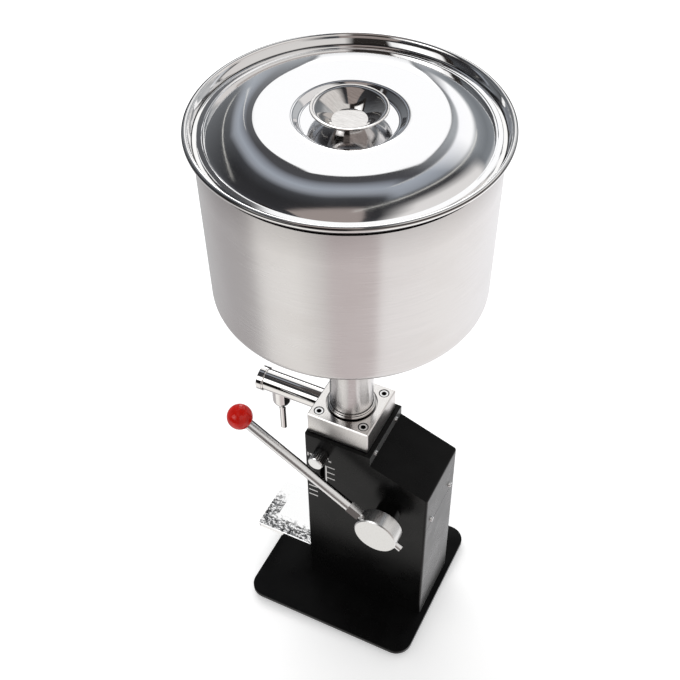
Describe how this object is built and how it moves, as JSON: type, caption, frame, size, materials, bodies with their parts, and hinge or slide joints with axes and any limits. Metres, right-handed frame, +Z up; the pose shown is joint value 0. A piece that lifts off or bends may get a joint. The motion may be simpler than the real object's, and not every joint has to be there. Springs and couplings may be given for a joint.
{
  "type": "manual paste filling machine",
  "caption": "Manual paste filling machine: a lidded steel hopper over a valve block, a piston pump worked by a side lever with a volume stop, and a bottle tray under the spout.",
  "frame": {"origin": "on the hopper's axis, at the level of the feet's undersides; this is the middle of the bottom of the bounding box, because the hopper's rim is the widest thing all round", "axes": "+Z up along the hopper's axis, -Y towards the spout and the bottle tray, +X towards the lever"},
  "size_m": [0.2928, 0.2928, 0.705],
  "materials": {
    "black_powder_coat": "satin black powder coat with a fine texture",
    "brushed_stainless": "spun stainless sheet, brushed round the wall",
    "machined_stainless": "fine-machined stainless",
    "polished_stainless": "mirror-polished stainless sheet",
    "bright_tray_sheet": "bright stainless sheet",
    "bright_steel_fasteners": "zinc-plated steel",
    "plated_lever_steel": "bright plated steel",
    "machined_aluminium": "turned aluminium, satin",
    "ground_steel": "ground steel",
    "plain_steel_plate": "plain steel plate",
    "spring_steel": "drawn spring wire",
    "red_phenolic": "polished red phenolic",
    "black_rubber": "moulded black rubber",
    "white_seal": "white PTFE",
    "bearing_bronze": "sintered bronze",
    "black_knob_plastic": "moulded black plastic"
  },
  "bodies": {
    "frame": {"base_plate": "black_powder_coat", "rubber_feet": "black_rubber", "foot_screws": "bright_steel_fasteners", "housing_shell": "black_powder_coat", "housing_screws": "bright_steel_fasteners", "access_cover": "black_powder_coat", "cover_screws": "bright_steel_fasteners", "top_plate": "black_powder_coat", "valve_block": "machined_stainless", "block_screws": "bright_steel_fasteners", "cylinder": "machined_stainless", "inlet_spring_cup": "machined_stainless", "inlet_valve_spring": "spring_steel", "neck_seal": "black_rubber", "discharge_tube": "machined_stainless", "tube_end_cap": "machined_stainless", "cap_seal": "white_seal", "outlet_cone": "machined_stainless", "spout": "machined_stainless", "outlet_valve_spring": "spring_steel", "bearing_boss_right": "black_powder_coat", "bearing_boss_left": "black_powder_coat", "shaft_bush_right": "bearing_bronze", "shaft_bush_left": "bearing_bronze", "tray_nut_plate": "bright_steel_fasteners"},
    "lever": {"lever_shaft": "ground_steel", "shaft_retainer": "bright_steel_fasteners", "swing_arm_right": "plain_steel_plate", "swing_arm_left": "plain_steel_plate", "lever_hub": "machined_aluminium", "lever_rod": "plated_lever_steel", "lever_jam_nut": "bright_steel_fasteners", "ball_knob": "red_phenolic"},
    "plunger": {"piston": "ground_steel", "piston_seals": "black_rubber", "piston_rod": "ground_steel", "crosshead_pin": "ground_steel", "pin_clips": "bright_steel_fasteners"},
    "volume_stop": {"volume_stop_block": "plain_steel_plate", "volume_stud": "bright_steel_fasteners", "volume_washer": "bright_steel_fasteners"},
    "volume_knob": {"volume_knob": "plated_lever_steel"},
    "hopper": {"hopper": "brushed_stainless", "hopper_neck": "brushed_stainless", "neck_collar": "machined_stainless"},
    "lid": {"lid": "polished_stainless", "lid_knob": "polished_stainless"},
    "inlet_ball": {"inlet_valve_ball": "ground_steel"},
    "outlet_ball": {"outlet_valve_ball": "ground_steel"},
    "tray": {"bottle_tray": "bright_tray_sheet"},
    "tray_knob": {"tray_clamp_knob": "black_knob_plastic"}
  },
  "joints": [
    {"name": "lever_swing", "type": "hinge", "parent": "frame", "child": "lever", "pos_m": [0.07, 0.0668, 0.2034], "axis": [-1, 0, 0], "range_deg": [0, 33.33]},
    {"name": "piston_slide", "type": "slide", "parent": "frame", "child": "plunger", "axis": [0, 0, 1], "range_m": [0, 0.04]},
    {"name": "volume_slide", "type": "slide", "parent": "frame", "child": "volume_stop", "axis": [0, 0, 1], "range_m": [-0.0457, 0]},
    {"name": "volume_knob_spin", "type": "hinge", "parent": "volume_stop", "child": "volume_knob", "pos_m": [0.05, -0.018, 0.261], "axis": [1, 0, 0], "range_deg": [0, 360]},
    {"name": "hopper_lift", "type": "slide", "parent": "frame", "child": "hopper", "axis": [0, 0, 1], "range_m": [0, 0.06]},
    {"name": "lid_lift", "type": "slide", "parent": "hopper", "child": "lid", "axis": [0, 0, 1], "range_m": [0, 0.06]},
    {"name": "inlet_ball_slide", "type": "slide", "parent": "frame", "child": "inlet_ball", "axis": [0, 0, 1], "range_m": [-0.003, 0], "stiffness_N_per_m": 60, "springref_m": 0.01, "deforming": ["inlet_valve_spring"]},
    {"name": "outlet_ball_slide", "type": "slide", "parent": "frame", "child": "outlet_ball", "axis": [0, 0, 1], "range_m": [-0.002, 0], "stiffness_N_per_m": 40, "springref_m": 0.005, "deforming": ["outlet_valve_spring"]},
    {"name": "tray_height", "type": "slide", "parent": "frame", "child": "tray", "axis": [0, 0, 1], "range_m": [0, 0.05]},
    {"name": "tray_knob_spin", "type": "hinge", "parent": "frame", "child": "tray_knob", "pos_m": [0, -0.05, 0.121], "axis": [0, -1, 0], "range_deg": [0, 360]}
  ],
  "couplings": [
    {"joint": "piston_slide", "follows": "lever_swing", "m_per_rad": 0.06874}
  ]
}
